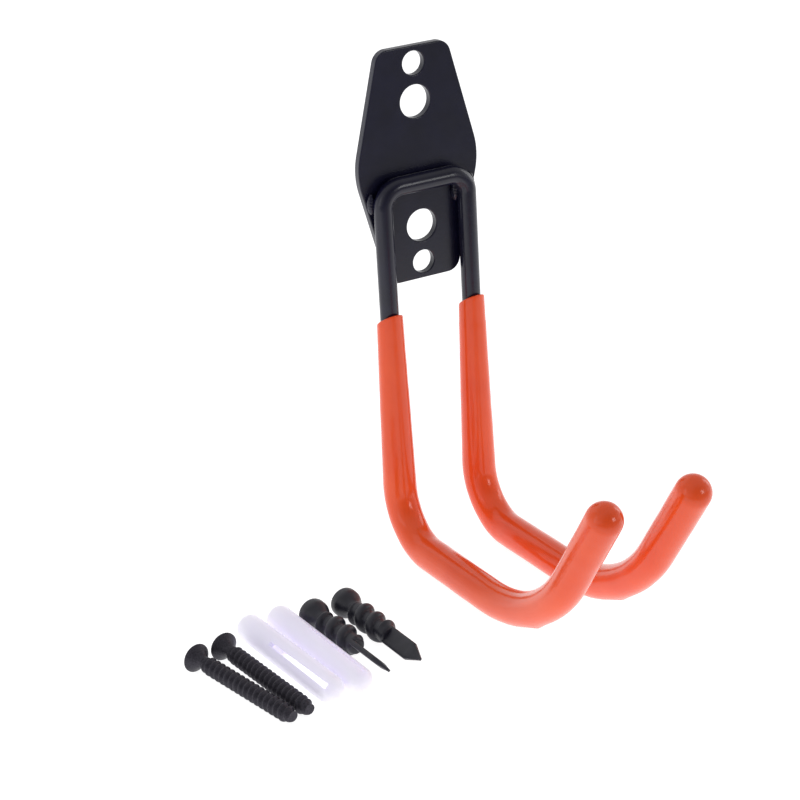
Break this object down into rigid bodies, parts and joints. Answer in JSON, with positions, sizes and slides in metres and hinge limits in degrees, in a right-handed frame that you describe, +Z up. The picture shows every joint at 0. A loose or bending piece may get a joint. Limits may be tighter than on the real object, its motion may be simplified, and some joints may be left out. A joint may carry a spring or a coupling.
{
  "type": "bicycle wall rack",
  "caption": "Wall-mounted twin-arm J hook: barrel-shaped steel plate, bent round rod with dipped soft coats, and its loose screws, plugs and anchors.",
  "frame": {"origin": "centre of the wall plate's back face, where it meets the wall", "axes": "+Z up, +Y into the wall, +X to the right of someone facing the rack; the arms reach out towards -Y"},
  "size_m": [0.1733, 0.1747, 0.2211],
  "materials": {
    "black_powder_coat": "semi-gloss black powder coat",
    "orange_vinyl": "glossy dipped vinyl",
    "black_screw": "black phosphate, slightly oiled",
    "milky_plastic": "translucent milky polyethylene",
    "black_nylon": "satin moulded nylon"
  },
  "bodies": {
    "rack": {"wall_plate": "black_powder_coat", "hook_rod": "black_powder_coat", "coat_left": "orange_vinyl", "coat_right": "orange_vinyl", "weld_left_outer": "black_powder_coat", "weld_left_inner": "black_powder_coat", "weld_right_outer": "black_powder_coat", "weld_right_inner": "black_powder_coat"},
    "wood_screw_1": {"wood_screw_1": "black_screw"},
    "wood_screw_2": {"wood_screw_2": "black_screw"},
    "wall_plug_1": {"wall_plug_1": "milky_plastic"},
    "wall_plug_2": {"wall_plug_2": "milky_plastic"},
    "drywall_anchor_1": {"drywall_anchor_1": "black_nylon"},
    "drywall_anchor_2": {"drywall_anchor_2": "black_nylon"}
  },
  "joints": [
    {"name": "lift_wood_screw_1", "type": "slide", "parent": "rack", "child": "wood_screw_1", "axis": [0, 0, 1], "range_m": [0, 0.06]},
    {"name": "lift_wood_screw_2", "type": "slide", "parent": "rack", "child": "wood_screw_2", "axis": [0, 0, 1], "range_m": [0, 0.06]},
    {"name": "lift_wall_plug_1", "type": "slide", "parent": "rack", "child": "wall_plug_1", "axis": [0, 0, 1], "range_m": [0, 0.06]},
    {"name": "lift_wall_plug_2", "type": "slide", "parent": "rack", "child": "wall_plug_2", "axis": [0, 0, 1], "range_m": [0, 0.06]},
    {"name": "lift_drywall_anchor_1", "type": "slide", "parent": "rack", "child": "drywall_anchor_1", "axis": [0, 0, 1], "range_m": [0, 0.06]},
    {"name": "lift_drywall_anchor_2", "type": "slide", "parent": "rack", "child": "drywall_anchor_2", "axis": [0, 0, 1], "range_m": [0, 0.06]}
  ]
}
